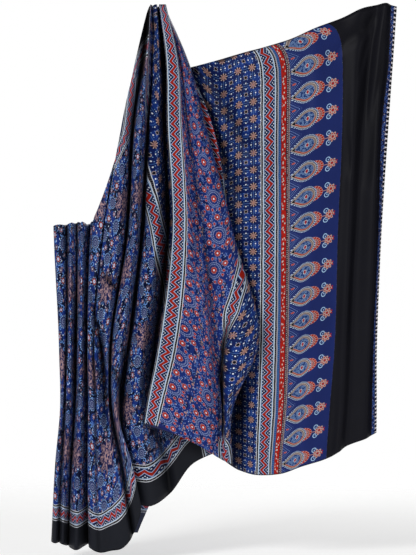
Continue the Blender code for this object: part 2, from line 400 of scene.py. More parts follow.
def across_the_cloth(points, along, turned_under):
    """How far each point of one line is from the cloth's upper edge, laid flat."""
    fall = np.linalg.norm(np.diff(points, axis=0), axis=1)
    slant = np.diff(along)
    step = np.sqrt(np.maximum(fall**2 - slant**2, (0.3 * fall) ** 2))
    from_hem = np.append(np.cumsum(step[::-1])[::-1], 0)
    shows = CLOTH_WIDTH - turned_under
    if turned_under or from_hem[0] > shows - 60:
        from_hem *= shows / from_hem[0]
    across = CLOTH_WIDTH - from_hem
    return across - SAG * np.sin(np.pi * across / CLOTH_WIDTH)


def fold_lines(rows, steps_down):
    """Every line as points in mm: an array of rows, steps and (x, y, z, along, across)."""
    down = np.linspace(0, 1, steps_down + 1)
    lines = []
    for name, top, hem, side, front, along in rows:
        z = top + (hem - top) * down
        x = smooth_through(SIDE_HEIGHTS, side, z)
        y = -smooth_through(FRONT_HEIGHTS, front, z)
        place = np.stack((x, y, z), axis=1)
        along = smooth_through(SIDE_HEIGHTS, along, z)
        across = across_the_cloth(place, along, TURNED_UNDER.get(name, 0))
        lines.append(np.column_stack((place, along, across)))
    return np.array(lines)


lines = fold_lines(fold_rows, STEPS_DOWN)

# The front panel hangs at a slant, so a row of its print runs downhill to the left.
LEANS = {  # fold line: how much the print moves up at SIDE_HEIGHTS
    "panel": (0, 0, 0, 5, 20, 28, 32, 36),
    "panel_dip": (0, 0, 0, 11, 28, 40, 46, 50),
    "roll_crest": (0, 0, 0, 20, 36, 48, 54, 58),
}
for i, row in enumerate(fold_rows):
    if row[0] in LEANS:
        lines[i, :, 4] -= smooth_through(SIDE_HEIGHTS, LEANS[row[0]], lines[i, :, 2])
print("lines, steps, numbers:", lines.shape)

# %% Columns between the fold lines
FRONT_SPACING = 4.6
BACK_SPACING = 15  # for the layers behind


def sheet_through(lines, first_back):
    """Fills in columns between the lines, on a rounded curve through them at each step down."""
    ends = np.concatenate((2 * lines[:1] - lines[1:2], lines, 2 * lines[-1:] - lines[-2:-1]))
    gap = np.linalg.norm(np.diff(ends[..., :3], axis=0), axis=2, keepdims=True) ** 0.5
    run = np.diff(ends, axis=0) / gap
    turn = (ends[2:] - ends[:-2]) / (gap[1:] + gap[:-1])
    slope = run[:-1] + run[1:] - turn
    columns = []
    for i in range(len(lines) - 1):
        width = gap[i + 1]
        spacing = FRONT_SPACING if i < first_back else BACK_SPACING
        count = max(3, round(float(np.mean(width**2)) / spacing))
        for t in np.arange(count) / count:
            near = (2 * t**3 - 3 * t**2 + 1) * lines[i] + (t**3 - 2 * t**2 + t) * width * slope[i]
            far = (3 * t**2 - 2 * t**3) * lines[i + 1] + (t**3 - t**2) * width * slope[i + 1]
            columns.append(near + far)
    columns.append(lines[-1])
    return np.array(columns)


sheet = sheet_through(lines, len(FOLDS))
print("columns and steps of the fine sheet:", sheet.shape[:2])

# %% [markdown]
# ## Deep valleys
#
# Where two folds lie against each other, the cloth between them goes back much further than it is
# wide, and little light gets in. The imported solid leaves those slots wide. Here each one is drawn in
# further along its fold line. How deep a point lies is kept as a number called hollow, and the silk
# is darker there. This stands in for shade and stays the same when the lamps change.
#
# Two valleys also take a zigzag band out of sight. In the tightest places, most of all in the first
# of these two, a layer of the sheet passes through the one beside it. The fault is known and left.

# %% Slots between the folds
SLOT_HEIGHTS = (0, -300, -600, -900, -1050, -1420)
# Each row: fold line, how wide the slot is, how much further back it goes at SLOT_HEIGHTS.
SLOTS = (
    ("v1", 8, (24, 30, 34, 34, 26, 14)),
    ("v2", 8, (30, 42, 44, 34, 26, 16)),
    ("v3", 9, (20, 42, 40, 36, 30, 22)),
    ("panel_left", 6, (0, 14, 22, 20, 12, 6)),
    ("pleat_valley", 8, (8, 8, 8, 8, 10, 14)),
    ("pleat_gap", 7, (38, 38, 38, 30, 26, 18)),
    ("pleat_groove", 6, (26, 26, 26, 24, 22, 16)),
    ("panel_dip", 8, (6, 10, 14, 10, 8, 6)),
)
# One valley swallows a whole zigzag band for part of its way down.
BAND_VALLEY = 625  # along the cloth
BAND_VALLEY_HEIGHTS = (-800, -900, -1090, -1150)
BAND_VALLEY_DEPTH = (0, 36, 40, 0)
BAND_VALLEY_HOLDS = (0, 72, 80, 0)  # mm of cloth out of sight
# Another swallows the last band near the shoulder.
SHOULDER_VALLEY_HEIGHTS = (-110, -220, -300, -450, -480, -537, -580)
SHOULDER_VALLEY_HOLDS = (0, 80, 86, 82, 70, 20, 0)

BAND_VALLEY_WIDTH = 9
HIDDEN_EDGE = 5  # how sharply the cloth goes out of sight
HIDDEN_REACH = 45  # how far to each side the print moves in
DARK_DEPTH = 26  # cloth pushed back this far is fully hollow and gets the darkest painted shade

hollow = np.zeros(sheet.shape[:2])  # how much painted shade: 0 on an open fold, 1 deep in a slot


def at_height(points, heights, values):
    """Reads a table of values at each point's height."""
    return np.interp(-points[..., 2], [-h for h in heights], values)


def push_back(points, nearby, depth):
    """Moves points back by a depth where nearby is 1, and notes how hollow that makes the cloth, which sets its
    painted shade.
    """
    global hollow
    points[..., 1] += nearby * depth
    hollow = np.maximum(hollow, np.clip(nearby * depth / DARK_DEPTH, 0, 1))


def hide(points, off, amount):
    """Takes an amount of cloth out of sight in a valley, and lets the print beside it move in."""
    points[..., 3] += amount / 2 * np.tanh(off / HIDDEN_EDGE) * np.exp(-np.abs(off) / HIDDEN_REACH)


def draw_in_slots(points):
    """Moves the sheet back in a narrow slot along each named fold line."""
    names = [row[0] for row in fold_rows]
    for name, width, depths in SLOTS:
        middle = lines[names.index(name)]
        nearby = np.exp(-(((points[..., 3] - middle[:, 3]) / width) ** 2))
        push_back(points, nearby, at_height(points, SLOT_HEIGHTS, depths))
    off = points[..., 3] - lines[names.index("v2"), :, 3]
    hide(points, off, at_height(points, SHOULDER_VALLEY_HEIGHTS, SHOULDER_VALLEY_HOLDS))
    off = points[..., 3] - BAND_VALLEY
    depth = at_height(points, BAND_VALLEY_HEIGHTS, BAND_VALLEY_DEPTH)
    push_back(points, np.exp(-((off / BAND_VALLEY_WIDTH) ** 2)), depth)
    hide(points, off, at_height(points, BAND_VALLEY_HEIGHTS, BAND_VALLEY_HOLDS))


draw_in_slots(sheet)
print(len(SLOTS) + 1, "slots")

# %% Print pulled askew along the upper edge
EDGE_PULL = 38  # mm that the pull on the held corner moves the print at the upper edge
EDGE_PULL_REACH = 24
EDGE_PULL_ALONG = (20, 70, 280, 480)  # none before the first, full from the second to the third


def pull_the_edge(points):
    share = np.interp(points[:, :1, 3], EDGE_PULL_ALONG, (0, 1, 1, 0))
    points[..., 3] -= EDGE_PULL * share * np.exp(-points[..., 4] / EDGE_PULL_REACH)


pull_the_edge(sheet)

# %% [markdown]
# ## Creases and the rolled waist
#
# Besides the long folds, the cloth is dented where it is pulled: short slanting creases below the
# waist, and wide soft ones beside the shoulder. Each is a bent line seen from the front, and it dents
# only the layer that it names.

# %% Creases
# Each row: first and last fold line of the layer, depth, half width, then (x, z) along the crease.
CREASES = (
    ("v3", "pleat_valley", 20, 6, ((-149, -690), (-120, -722), (-94, -753))),
    ("v3", "pleat_valley", 12, 6, ((-172, -724), (-160, -750), (-149, -776))),
    ("v3", "pleat_valley", 26, 7, ((-172, -742), (-156, -826), (-143, -894), (-136, -959), (-128, -1115))),
    ("v3", "pleat_valley", 26, 7, ((-117, -938), (-94, -987), (-84, -1040))),
    ("v3", "panel_left", 24, 7, ((-62, -800), (-76, -900), (-88, -992))),
    ("panel", "band2_right", 10, 16, ((83, -380), (104, -469), (120, -589), (141, -709), (151, -847))),
    ("band4_left", "roll_back", 17, 19, ((133, -165), (185, -270), (245, -400))),
    ("band4_left", "roll_back", 18, 17, ((125, -250), (170, -370), (222, -530))),
    ("band4_left", "roll_back", 22, 15, ((240, -760), (215, -930), (214, -1100))),
    ("black_line", "end", 5, 14, ((588, -190), (566, -330), (549, -480))),
    ("black_line", "end", 7, 8, ((580, -13), (549, -63), (503, -101))),
    ("black_line", "end", 5, 8, ((587, -16), (564, -86), (553, -174), (545, -305))),
    ("black_line", "end", 5, 7, ((597, -13), (594, -82), (582, -189), (566, -297))),
    ("black_line", "end", 4, 6, ((560, -60), (540, -140), (528, -190))),
    ("black_line", "end", 4, 8, ((503, -350), (503, -450))),
    ("paisley", "pull_dip", 5, 12, ((560, -30), (470, -120), (400, -170))),
)


def distance_to_line(x, z, line):
    """How far each point is from a bent line, and how near it is to the line's middle, 0 to 1."""
    nearest_yet, share = np.full(x.shape, 1e6), np.zeros(x.shape)
    reach = np.append(0, np.cumsum([np.hypot(b[0] - a[0], b[1] - a[1]) for a, b in zip(line, line[1:])]))
    for i, (a, b) in enumerate(zip(line, line[1:])):
        dx, dz = b[0] - a[0], b[1] - a[1]
        t = np.clip(((x - a[0]) * dx + (z - a[1]) * dz) / (dx**2 + dz**2), 0, 1)
        off = np.hypot(x - a[0] - t * dx, z - a[1] - t * dz)
        here = (reach[i] + t * (reach[i + 1] - reach[i])) / reach[-1]
        share = np.where(off < nearest_yet, here, share)
        nearest_yet = np.minimum(nearest_yet, off)
    return nearest_yet, np.sin(np.pi * share) ** 0.5


def dent(points):
    names = [row[0] for row in fold_rows]
    for first, last, depth, width, line in CREASES:
        ends = sorted(lines[names.index(name), :, 3].mean() for name in (first, last))
        layer = (points[..., 3] > ends[0]) & (points[..., 3] < ends[1])
        off, taper = distance_to_line(points[..., 0], points[..., 2], line)
        push_back(points, layer * np.exp(-((off / width) ** 2)) * taper, depth)


dent(sheet)
print(len(CREASES), "creases")

# %% Rolled upper edge at the waist
WAIST_ROLL = 9  # how far the pleats' upper edge bulges forwards
WAIST_ROLL_HEIGHT = 14
WAIST_BUMPS = (3.5, 47)  # height and length of the bumps in the upper edge


def roll_the_waist(points):
    names = [row[0] for row in fold_rows]
    first = lines[names.index("panel_edge"), 0, 3]
    last = lines[names.index("turn_behind"), 0, 3]
    along = points[:, :1, 3]
    pleats = np.clip((along - first) / 30, 0, 1) * np.clip((last - along) / 30, 0, 1)
    below = points[:, :1, 2] - points[..., 2]
    points[..., 1] -= WAIST_ROLL * pleats * np.exp(-((below / WAIST_ROLL_HEIGHT) ** 2))
    height, length = WAIST_BUMPS
    bumps = height * np.abs(np.sin(np.pi * along / length))
    points[..., 2] += pleats * bumps * np.exp(-below / 20)


roll_the_waist(sheet)

# Valleys wide enough to see into get painted shade too, darker the further back, down to the deepest layer in
# front.
VALLEY_START = 26  # how far behind the origin the darkening starts
VALLEY_RANGE = 60
VALLEY_LIMIT = 0.8  # never as hollow as the bottom of a slot
in_front = np.arange(len(sheet)) < sum(sheet[:, 0, 3] <= ALONG["turn_behind"])
deep = np.clip((sheet[..., 1] - VALLEY_START) / VALLEY_RANGE, 0, VALLEY_LIMIT) * in_front[:, None]
hollow = np.maximum(hollow, deep)
print("hollow from", hollow.min(), "to", hollow.max())

# %% [markdown]
# ## Small creases
#
# Between the folds, thin silk is crossed by shallow drag lines and dents. They are too small for the
# table, so they are pushed into the sheet along its own surface: soft waves that run mostly down the
# cloth, and a few named creases that start where the cloth is pulled.

# %% Waves in the silk
WAVE_DEPTH = 1.1
WAVES = 22
WAVE_LENGTH_ALONG = (38, 120)
WAVE_LENGTH_ACROSS = (260, 900)


def surface_normals(points):
    """Which way the sheet faces at each point."""
    across = np.gradient(points[..., :3], axis=1)
    along = np.gradient(points[..., :3], axis=0)
    normal = np.cross(along, across)
    return normal / np.maximum(np.linalg.norm(normal, axis=2, keepdims=True), 1e-9)


def soft_waves(points):
    """A height for each point: waves of several lengths, the same each run."""
    random = np.random.default_rng(7)
    along, across = points[..., 3], points[..., 4]
    height = np.zeros(points.shape[:2])
    for _ in range(WAVES):
        short = random.uniform(*WAVE_LENGTH_ALONG)
        long = random.uniform(*WAVE_LENGTH_ACROSS) * random.choice((-1, 1))
        phase = random.uniform(0, 2 * np.pi)
        height += np.sin(2 * np.pi * (along / short + across / long) + phase) * (short / 80)
    return WAVE_DEPTH * height / np.sqrt(WAVES)


sheet[..., :3] += surface_normals(sheet) * soft_waves(sheet)[..., None]
print("waves up to", round(float(np.abs(soft_waves(sheet)).max()), 1), "mm deep")

# %% Build the mesh
CLOTH_THICKNESS = 0.6 * MM


TURNED_BAND = ((-175, -47), (-216, -50), (-303, -58), (-340, -64), (-398, -92), (-450, -116))  # (z, x)
TURNED_SPREAD = 1.8  # the band is seen at a slant, where the cloth turns away


def turned_band(points):
    """Where the band of the body's upper edge shows along the shoulder: (run, side) of each point."""
    x, z = points[..., 0], points[..., 2]
    inner_edge = np.interp(-z, [-h for h, _ in TURNED_BAND], [x for _, x in TURNED_BAND])
    side = (x - inner_edge) * TURNED_SPREAD
    names = [row[0] for row in fold_rows]
    ridge = points[..., 3] > lines[names.index("v3"), :, 3]
    ridge &= points[..., 3] < lines[names.index("pleat_valley"), 0, 3]
    shows = ridge & (z < TURNED_BAND[0][0]) & (z > TURNED_BAND[-1][0])
    return -z * 1.05, np.where(shows, side, 900)


def unrolled(points):
    """A second flat place: level with the height, and longer sideways by what each fold takes up."""
    dx, dy = np.diff(points[..., 0], axis=0), np.diff(points[..., 1], axis=0)
    taken_up = np.mean(np.hypot(dx, dy) - np.abs(dx), axis=1)
    taken_up = np.append(0, np.cumsum(taken_up))[:, None]
    hem = CLOTH_WIDTH + points[:, -1:, 2]
    tilt = np.clip((-points[..., 2] - 300) / 1000, 0, 1) * hem
    return taken_up - points[..., 0], tilt - points[..., 2]


def make_cloth(name, points, hollow):
    """Lays a grid of faces on the points. Its UV map holds the flat coordinates in metres."""
    columns, steps = points.shape[:2]
    bm = bmesh.new()
    bmesh.ops.create_grid(bm, x_segments=columns - 1, y_segments=steps - 1, size=1)
    bm.verts.ensure_lookup_table()
    flat = bm.loops.layers.uv.new("flat_cloth")
    turned = bm.loops.layers.uv.new("turned_band")
    # The hollow attribute carries the painted shade of the slots and valleys to the material.
    dark = bm.verts.layers.float.new("hollow")
    band_run, band_side = turned_band(points)
    body = bm.loops.layers.uv.new("over_the_folds")
    over, down = unrolled(points)
    for index, vert in enumerate(bm.verts):
        step, column = divmod(index, columns)
        x, y, z, along, across = points[column, step] * MM
        vert.co = x, y, z
        vert[dark] = hollow[column, step]
        for loop in vert.link_loops:
            loop[flat].uv = along, across
            loop[turned].uv = band_run[column, step] * MM, band_side[column, step] * MM
            loop[body].uv = over[column, step] * MM, down[column, step] * MM
    mesh = bpy.data.meshes.new(name)
    bm.to_mesh(mesh)
    bm.free()
    mesh.shade_smooth()
    cloth = bpy.data.objects.new(name, mesh)
    bpy.context.scene.collection.objects.link(cloth)
    return cloth


cloth = make_cloth("printed_silk_cloth", sheet, hollow)
thickness = cloth.modifiers.new("thickness", "SOLIDIFY")
thickness.thickness = CLOTH_THICKNESS
thickness.offset = 0
thickness.material_offset = 1
thickness.material_offset_rim = 0
print("faces in the sheet:", len(cloth.data.polygons))

# %% [markdown]
# ## How the print is made
#
# A block printer stamps one small figure after another, colour over colour. The material does the
# same: it takes the cloth's flat coordinates, repeats them at the size of a block, works out how far
# each point is from the figure's edge, and lays ink where that distance is negative. Written out as
# nodes this would be hundreds of boxes, so a few small helpers let each figure be written as a
# formula. The print is one node group, used for the face and, paler, for the reverse of the silk.

# %% Numbers that vary over the cloth
print_group = bpy.data.node_groups.new("block_print", "ShaderNodeTree")
print_group.interface.new_socket("Ink", in_out="OUTPUT", socket_type="NodeSocketColor")
nodes, links = print_group.nodes, print_group.links


class Value:
    """A number that varies over the cloth: what one node of the print gives out."""

    def __init__(self, socket):
        self.socket = socket

    def __add__(self, other):
        return calc("ADD", self, other)

    __radd__ = __add__

    def __sub__(self, other):
        return calc("SUBTRACT", self, other)

    def __rsub__(self, other):
        return calc("SUBTRACT", other, self)

    def __mul__(self, other):
        return calc("MULTIPLY", self, other)

    __rmul__ = __mul__

    def __truediv__(self, other):
        return calc("DIVIDE", self, other)

    def __gt__(self, other):
        return calc("GREATER_THAN", self, other)

    def __lt__(self, other):
        return calc("LESS_THAN", self, other)


def plug(socket, value):
    """Links a node's output into a socket, or sets a plain number or colour there."""
    if isinstance(value, Value):
        links.new(value.socket, socket)
    else:
        socket.default_value = value


def calc(operation, *values, clamp=False):
    node = nodes.new("ShaderNodeMath")
    node.operation = operation
    node.use_clamp = clamp
    for socket, value in zip(node.inputs, values):
        plug(socket, value)
    return Value(node.outputs[0])


def size_of(value):
    return calc("ABSOLUTE", value)


def nearest(*distances):
    """Two or more shapes joined into one."""
    joined = distances[0]
    for distance in distances[1:]:
        joined = calc("MINIMUM", joined, distance)
    return joined


def overlap(*distances):
    """Only what all of the shapes cover."""
    shared = distances[0]
    for distance in distances[1:]:
        shared = calc("MAXIMUM", shared, distance)
    return shared


print("helpers ready")

# %% Ink and shapes
INK_EDGE = 0.5  # mm over which an ink's edge fades


def ink(code):
    """A colour from its six hex digits, in linear light."""
    parts = [int(code[i : i + 2], 16) / 255 for i in (0, 2, 4)]
    return tuple((p / 12.92 if p <= 0.04045 else ((p + 0.055) / 1.055) ** 2.4) for p in parts) + (1,)


def stamp(below, colour, shape, strength=1.0):
    """Lays a colour inside a shape, over what was there."""
    node = nodes.new("ShaderNodeMix")
    node.data_type = "RGBA"
    cover = calc("MULTIPLY_ADD", shape, -1 / INK_EDGE, 0.5, clamp=True)
    plug(node.inputs[0], cover * strength if strength != 1.0 else cover)
    plug(node.inputs[6], below)
    plug(node.inputs[7], colour)
    return Value(node.outputs[2])


def away(x, y):
    """The distance of (x, y) from the middle."""
    joined = nodes.new("ShaderNodeCombineXYZ")
    plug(joined.inputs[0], x)
    plug(joined.inputs[1], y)
    node = nodes.new("ShaderNodeVectorMath")
    node.operation = "LENGTH"
    links.new(joined.outputs[0], node.inputs[0])
    return Value(node.outputs["Value"])


def repeat(value, pitch):
    """Starts again every pitch, with zero in the middle."""
    return calc("WRAP", value, pitch / 2, -pitch / 2)


def disc(x, y, radius):
    return away(x, y) - radius


def ring(distance, middle, width):
    """A line of some width at one distance from a shape or a point."""
    return size_of(distance - middle) - width / 2


def around(x, y, count, radius, start=0.0):
    """Folds a full turn into count equal parts: (outwards from the radius, sideways)."""
    part = 2 * np.pi / count
    angle = repeat(calc("ARCTAN2", y, x) + start, part)
    far = away(x, y)
    return calc("COSINE", angle) * far - radius, calc("SINE", angle) * far


def turned(x, y, angle):
    """The same point in axes turned by an angle."""
    c, s = float(np.cos(angle)), float(np.sin(angle))
    return x * c + y * s, y * c - x * s


print("ink edge", INK_EDGE, "mm")

# %% [markdown]
# ## Where on the cloth
#
# A hand-placed block is never quite true, and silk creeps under the wet block. So the coordinates
# are bent by a little noise before any figure is drawn. The cloth has three sets of them: flat_cloth
# as on the printing table, over_the_folds for the body print, and turned_band for the band that
# shows at the shoulder. The second follows the surface that is seen and not the weave, so the body's
# repeat isn't true to the loom inside deep folds.

# %% Flat coordinates in millimetres, slightly unsteady
UNSTEADY = 1.1  # mm


def coordinates(uv_map, stray_by=UNSTEADY, scale=55):
    """Two distances in mm, read from one of the cloth's UV maps."""
    uv = nodes.new("ShaderNodeUVMap")
    uv.uv_map = uv_map
    noise = nodes.new("ShaderNodeTexNoise")
    noise.noise_dimensions = "2D"
    noise.inputs["Scale"].default_value = scale
    noise.inputs["Detail"].default_value = 2
    links.new(uv.outputs[0], noise.inputs["Vector"])
    place = nodes.new("ShaderNodeSeparateXYZ")
    links.new(uv.outputs[0], place.inputs[0])
    stray = nodes.new("ShaderNodeSeparateColor")
    links.new(noise.outputs["Color"], stray.inputs[0])
    values = []
    for i in range(2):
        flat = calc("MULTIPLY_ADD", Value(place.outputs[i]), 1000.0, -stray_by)
        values.append(calc("MULTIPLY_ADD", Value(stray.outputs[i]), 2 * stray_by, flat))
    return values


along, across = coordinates("flat_cloth")
body_over, body_down = coordinates("over_the_folds", stray_by=8, scale=8)


def cells(scale, x=along, y=across):
    """A Voronoi pattern on the cloth, with about scale cells a metre."""
    joined = nodes.new("ShaderNodeCombineXYZ")
    plug(joined.inputs[0], x)
    plug(joined.inputs[1], y)
    node = nodes.new("ShaderNodeTexVoronoi")
    node.voronoi_dimensions = "2D"
    node.inputs["Scale"].default_value = scale / 1000
    links.new(joined.outputs[0], node.inputs["Vector"])
    return Value(node.outputs["Distance"])


BAND_WIDTH = 46
BAND_MIDDLES = (321, 626, 849, 1132)  # the four zigzag bands across the cloth
BODY_START = 1155

print("the figured end is", BODY_START, "mm long")

# %% [markdown]
# ## Zigzag bands
#
# Four bands cross the end panel, and one runs along each edge of the body. A brick red zigzag with
# pale outlines runs between two rows of dark triangles, each with three dots, and a line of black
# dashes closes the band on both sides. One pattern serves them all: it is drawn in (side, run), the
# distance from a band's middle and the distance along it.

# %% Zigzag band
NAVY = ink("101A45")
WHITE = ink("E9EEF6")
SKY = ink("AED2F6")
BRICK = ink("9C1F12")
BLACK = ink("0D0D12")
BEIGE = ink("B5A4A6")

ZIGZAG_PERIOD = 26
ZIGZAG_SWING = 6.6
ZIGZAG_LINE = 6.4
HEM_WIDTH = 63
HEM_BAND_MIDDLE = CLOTH_WIDTH - HEM_WIDTH - BAND_WIDTH / 2


def zigzag_band(side, run):
    slope = 4 * ZIGZAG_SWING / ZIGZAG_PERIOD
    tilt = 1 / float(np.sqrt(1 + slope**2))
    swing = (calc("PINGPONG", run, ZIGZAG_PERIOD / 2) - ZIGZAG_PERIOD / 4) * slope
    off = size_of(side - swing) * tilt
    edge = size_of(side)
    colour = stamp(NAVY, SKY, ring(edge, 14.3, 1.4))
    colour = stamp(colour, ink("A6C6EC"), off - ZIGZAG_LINE / 2 - 1.2)
    colour = stamp(colour, BRICK, off - ZIGZAG_LINE / 2)
    tooth = repeat(run + (side < 0) * (ZIGZAG_PERIOD / 2), ZIGZAG_PERIOD)
    dots = nearest(disc(edge - 11.4, size_of(tooth) - 4.2, 1.35), disc(edge - 7.6, tooth, 1.35))
    colour = stamp(colour, WHITE, dots)
    # The dashed line: black beads with pale gaps, between two thin pale lines.
    colour = stamp(colour, WHITE, ring(edge, 19.2, 7.6))
    colour = stamp(colour, BLACK, ring(edge, 19.2, 4.8))
    gaps = overlap(ring(edge, 19.2, 4.8), 2.2 - size_of(repeat(run, 5.2)))
    colour = stamp(colour, ink("77727A"), gaps)
    return colour


def band_side():
    """The distance from the nearest of the four bands' middles."""
    side = along - BAND_MIDDLES[0]
    for here, following in zip(BAND_MIDDLES, BAND_MIDDLES[1:]):
        side = side - (along > (here + following) / 2) * (following - here)
    return side


in_body = along > BODY_START
band_across = band_side()
hem_across = size_of(across - CLOTH_WIDTH / 2) - (HEM_BAND_MIDDLE - CLOTH_WIDTH / 2)


def either(choice, there, here):
    """there where choice is 1, here where it is 0."""
    return here + choice * (there - here)


turned_map = nodes.new("ShaderNodeUVMap")
turned_map.uv_map = "turned_band"
turned_place = nodes.new("ShaderNodeSeparateXYZ")
links.new(turned_map.outputs[0], turned_place.inputs[0])
turned_run = Value(turned_place.outputs[0]) * 1000.0
turned_side = Value(turned_place.outputs[1]) * 1000.0 + BAND_WIDTH / 2
on_turned = turned_side < BAND_WIDTH / 2

side = either(on_turned, turned_side, either(in_body, hem_across, band_across))
run = either(on_turned, turned_run, either(in_body, along, across))
zigzag = zigzag_band(side, run)
print("zigzag nodes:", len(nodes))

# %% [markdown]
# ## The star ground
#
# Between the bands lies a navy ground with a square lattice: a pinkish star at each crossing, a black
# ring in the middle of each square, thin pale lines from star to star, and dots between.

# %% Stars
ROYAL = ink("17357F")
ROSE = ink("B28878")
STAR_PITCH_ALONG = 38
STAR_PITCH_ACROSS = 42
WHITE_DOT_ALONG = 13.0  # from the middle of a square to the white dots on each side of it
WHITE_DOT_ACROSS = 14.0


def star_ground():
    x = repeat(along - BAND_MIDDLES[0] - BAND_WIDTH / 2 - 19, STAR_PITCH_ALONG)
    y = repeat(across, STAR_PITCH_ACROSS)
    in_x = repeat(along - BAND_MIDDLES[0] - BAND_WIDTH / 2, STAR_PITCH_ALONG)
    in_y = repeat(across + STAR_PITCH_ACROSS / 2, STAR_PITCH_ACROSS)
    colour = stamp(ink("10215A"), ROYAL, cells(30) * 27 - 8)
    lines = nearest(size_of(x), size_of(y)) - 0.45
    colour = stamp(colour, ink("4E79B8"), lines)
    quarter_x = size_of(repeat(x, STAR_PITCH_ALONG / 2)) - STAR_PITCH_ALONG / 8
    quarter_y = size_of(repeat(y, STAR_PITCH_ACROSS / 2)) - STAR_PITCH_ACROSS / 8
    colour = stamp(colour, ink("8FB6E6"), disc(quarter_x, quarter_y, 1.05))
    mid_x = size_of(in_x) - WHITE_DOT_ALONG
    mid_y = size_of(in_y) - WHITE_DOT_ACROSS
    white_dots = nearest(disc(mid_x, in_y, 1.75), disc(in_x, mid_y, 1.75))
    colour = stamp(colour, WHITE, white_dots)
    middle = away(in_x, in_y)
    colour = stamp(colour, BEIGE, ring(middle, 4.1, 1.4))
    colour = stamp(colour, BLACK, middle - 3.5)
    out, over = around(x, y, 8, 6.0)
    colour = stamp(colour, ROSE, disc(out * 0.45, over, 1.4))
    colour = stamp(colour, ink("CDB9B4"), disc(out - 2.8, over, 1.15))
    gap_out, gap_over = around(x, y, 8, 8.0, start=np.pi / 8)
    colour = stamp(colour, BLACK, disc(gap_out, gap_over, 1.8))
    colour = stamp(colour, ROSE, away(x, y) - 3.0)
    colour = stamp(colour, ink("8A4038"), away(x, y) - 1.0)
    return colour


stars = star_ground()
print("with stars:", len(nodes))

# %% [markdown]
# ## Braid and tear-drop row
#
# Next to the last band runs a narrow braid: a pale line, a steel blue stripe, a red cord with light
# twists, and two thin dashed lines. Beyond it stands a row of large tear-drop figures, each with a
# beaded crown and a sprig, on plain royal blue. They lie on their side, with the point towards the
# braid, and lean a little upwards.

# %% Braid
BRAID_START, BRAID_END = 266, 299
STEEL = ink("3F669F")
RED = ink("AE1D12")


def braid():
    place = along - BRAID_START
    dash = size_of(repeat(across, 5.2)) - 1.5
    colour = stamp(ink("2A2C4A"), ink("A39490"), ring(place, 2.4, 3.2))
    colour = stamp(colour, ink("4C4660"), overlap(ring(place, 2.4, 1.4), dash))
    colour = stamp(colour, BLACK, ring(place, 7.0, 4.4))
    colour = stamp(colour, BEIGE, overlap(ring(place, 7.0, 2.2), dash))
    colour = stamp(colour, ink("1A1230"), ring(place, 17.0, 14.6))
    colour = stamp(colour, RED, ring(place, 17.0, 12.6))
    colour = stamp(colour, ink("6A1A18"), cells(120) * 8.3 - 1.5)
    flecks = overlap(cells(165, along, across * 0.6) * 6.1 - 1.45, ring(place, 17.0, 9.6))
    colour = stamp(colour, ink("CFC2BC"), flecks)
    colour = stamp(colour, STEEL, ring(place, 27.4, 6.4))
    colour = stamp(colour, ink("1B3468"), disc(place - 27.4, repeat(across, 5.4), 1.5))
    colour = stamp(colour, ink("B9B4B8"), ring(place, 31.8, 1.6))
    return colour


braid_colour = braid()
print("with braid:", len(nodes))

# %% Tear-drop row
DROP_PITCH = 63.4
DROP_FIRST = 80  # how far the first whole figure is from the upper edge
DROP_MIDDLE = 222  # along the cloth, the middle of the round body
DROP_LEAN = np.radians(-1)
DROP_RADIUS = 25.5
DROP_SLIMNESS = 1.26
DROP_POINT = 43.0  # from the middle of the body to the point
DROP_GROUND = ink("1D2B68")


def drop_distance(x, y):
    """How far outside a tear-drop: a circle drawn out to a point on the left."""
    s = DROP_RADIUS / DROP_POINT
    c = float(np.sqrt(1 - s**2))
    left, height = x * -1.0, size_of(y)
    flank = left * s + height * c
    beside = left * c > height * s
    return either(beside, flank, away(x, y)) - DROP_RADIUS


